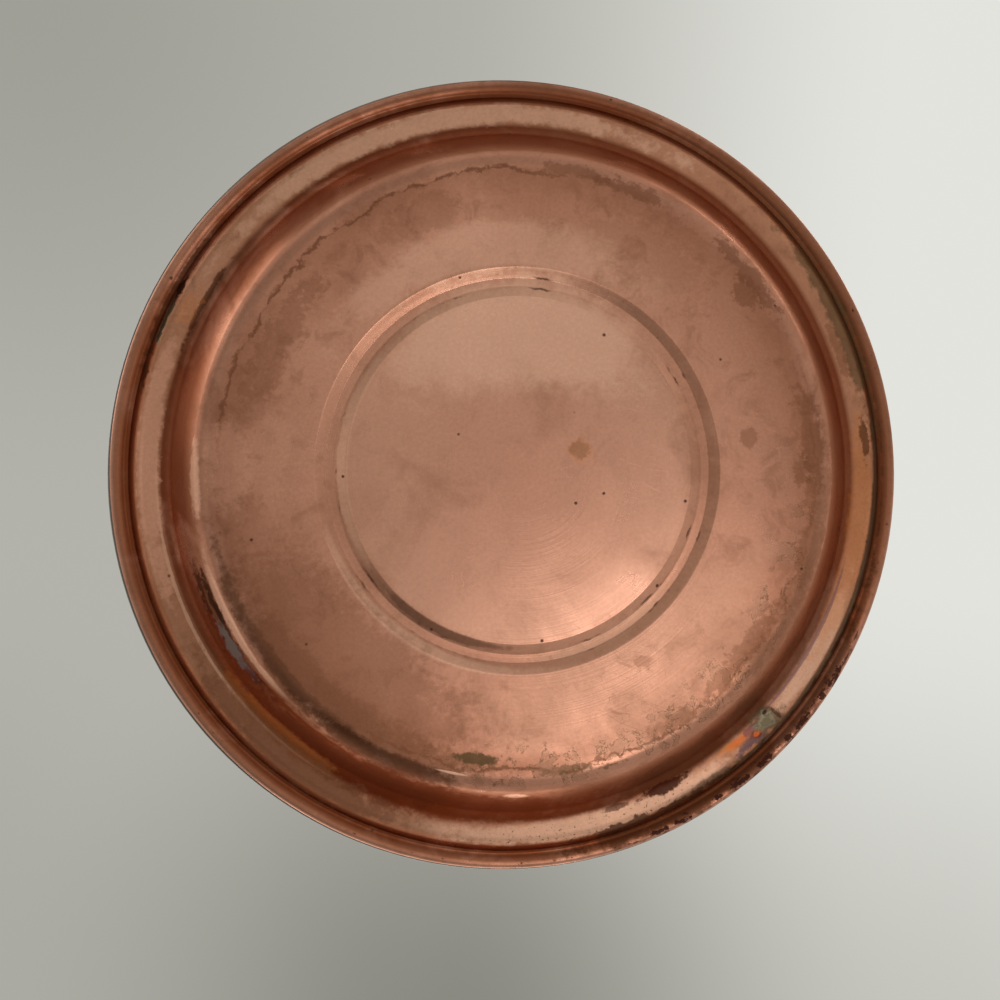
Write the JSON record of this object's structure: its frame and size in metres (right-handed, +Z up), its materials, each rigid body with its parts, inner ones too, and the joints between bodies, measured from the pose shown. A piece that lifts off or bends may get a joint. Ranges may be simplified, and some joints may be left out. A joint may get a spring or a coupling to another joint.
{
  "type": "whistling kettle",
  "caption": "Domed stovetop kettle with a copper-clad base, arched black grip, trigger lever and hinged whistle cap on a short spout.",
  "frame": {"origin": "centre of the flat base that the kettle stands on", "axes": "+Z up, +X towards the spout, +Y to the side where the link wire runs"},
  "size_m": [0.2052, 0.2052, 0.1853],
  "materials": {
    "copper": "tarnished satin copper",
    "steel": "polished stainless steel",
    "plain_steel": "plain satin steel",
    "spring_steel": "drawn spring wire",
    "brass": "turned brass",
    "phenolic": "satin black phenolic moulding"
  },
  "bodies": {
    "kettle": {"copper_cladding": "copper", "bottom_pan": "steel", "body_dome": "steel", "spout_tube": "steel", "spout_hinge_bracket": "steel", "cap_hinge_pin": "plain_steel", "cap_spring": "spring_steel", "front_bracket": "steel", "rear_bracket": "steel", "handle_grip": "phenolic", "front_screw": "plain_steel", "front_washer": "plain_steel", "front_insert": "brass", "rear_screw": "plain_steel", "rear_washer": "plain_steel", "rear_insert": "brass", "trigger_pin": "plain_steel"},
    "trigger": {"trigger_lever": "phenolic"},
    "link": {"link_wire": "spring_steel", "link_rear_clip": "spring_steel", "link_front_clip": "spring_steel"},
    "cap": {"cap_arm": "steel", "cap_shell": "steel", "whistle_inner_plate": "plain_steel", "whistle_outer_plate": "plain_steel", "cap_rivet_left": "plain_steel", "cap_rivet_right": "plain_steel"}
  },
  "joints": [
    {"name": "trigger_squeeze", "type": "hinge", "parent": "kettle", "child": "trigger", "pos_m": [0.024, 0, 0.15836], "axis": [0, 1, 0], "range_deg": [0, 15]},
    {"name": "link_swing", "type": "hinge", "parent": "trigger", "child": "link", "pos_m": [0.02661, 0, 0.13853], "axis": [0, 1, 0], "range_deg": [-15, 0]},
    {"name": "cap_open", "type": "hinge", "parent": "kettle", "child": "cap", "pos_m": [0.06827, 0, 0.12887], "axis": [0, -1, 0], "range_deg": [0, 30], "stiffness_Nm_per_rad": 0.06, "springref_deg": -28.65, "deforming": ["cap_spring"]}
  ],
  "couplings": [
    {"joint": "link_swing", "follows": "trigger_squeeze", "ratio": -1},
    {"joint": "cap_open", "follows": "trigger_squeeze", "ratio": 2}
  ]
}
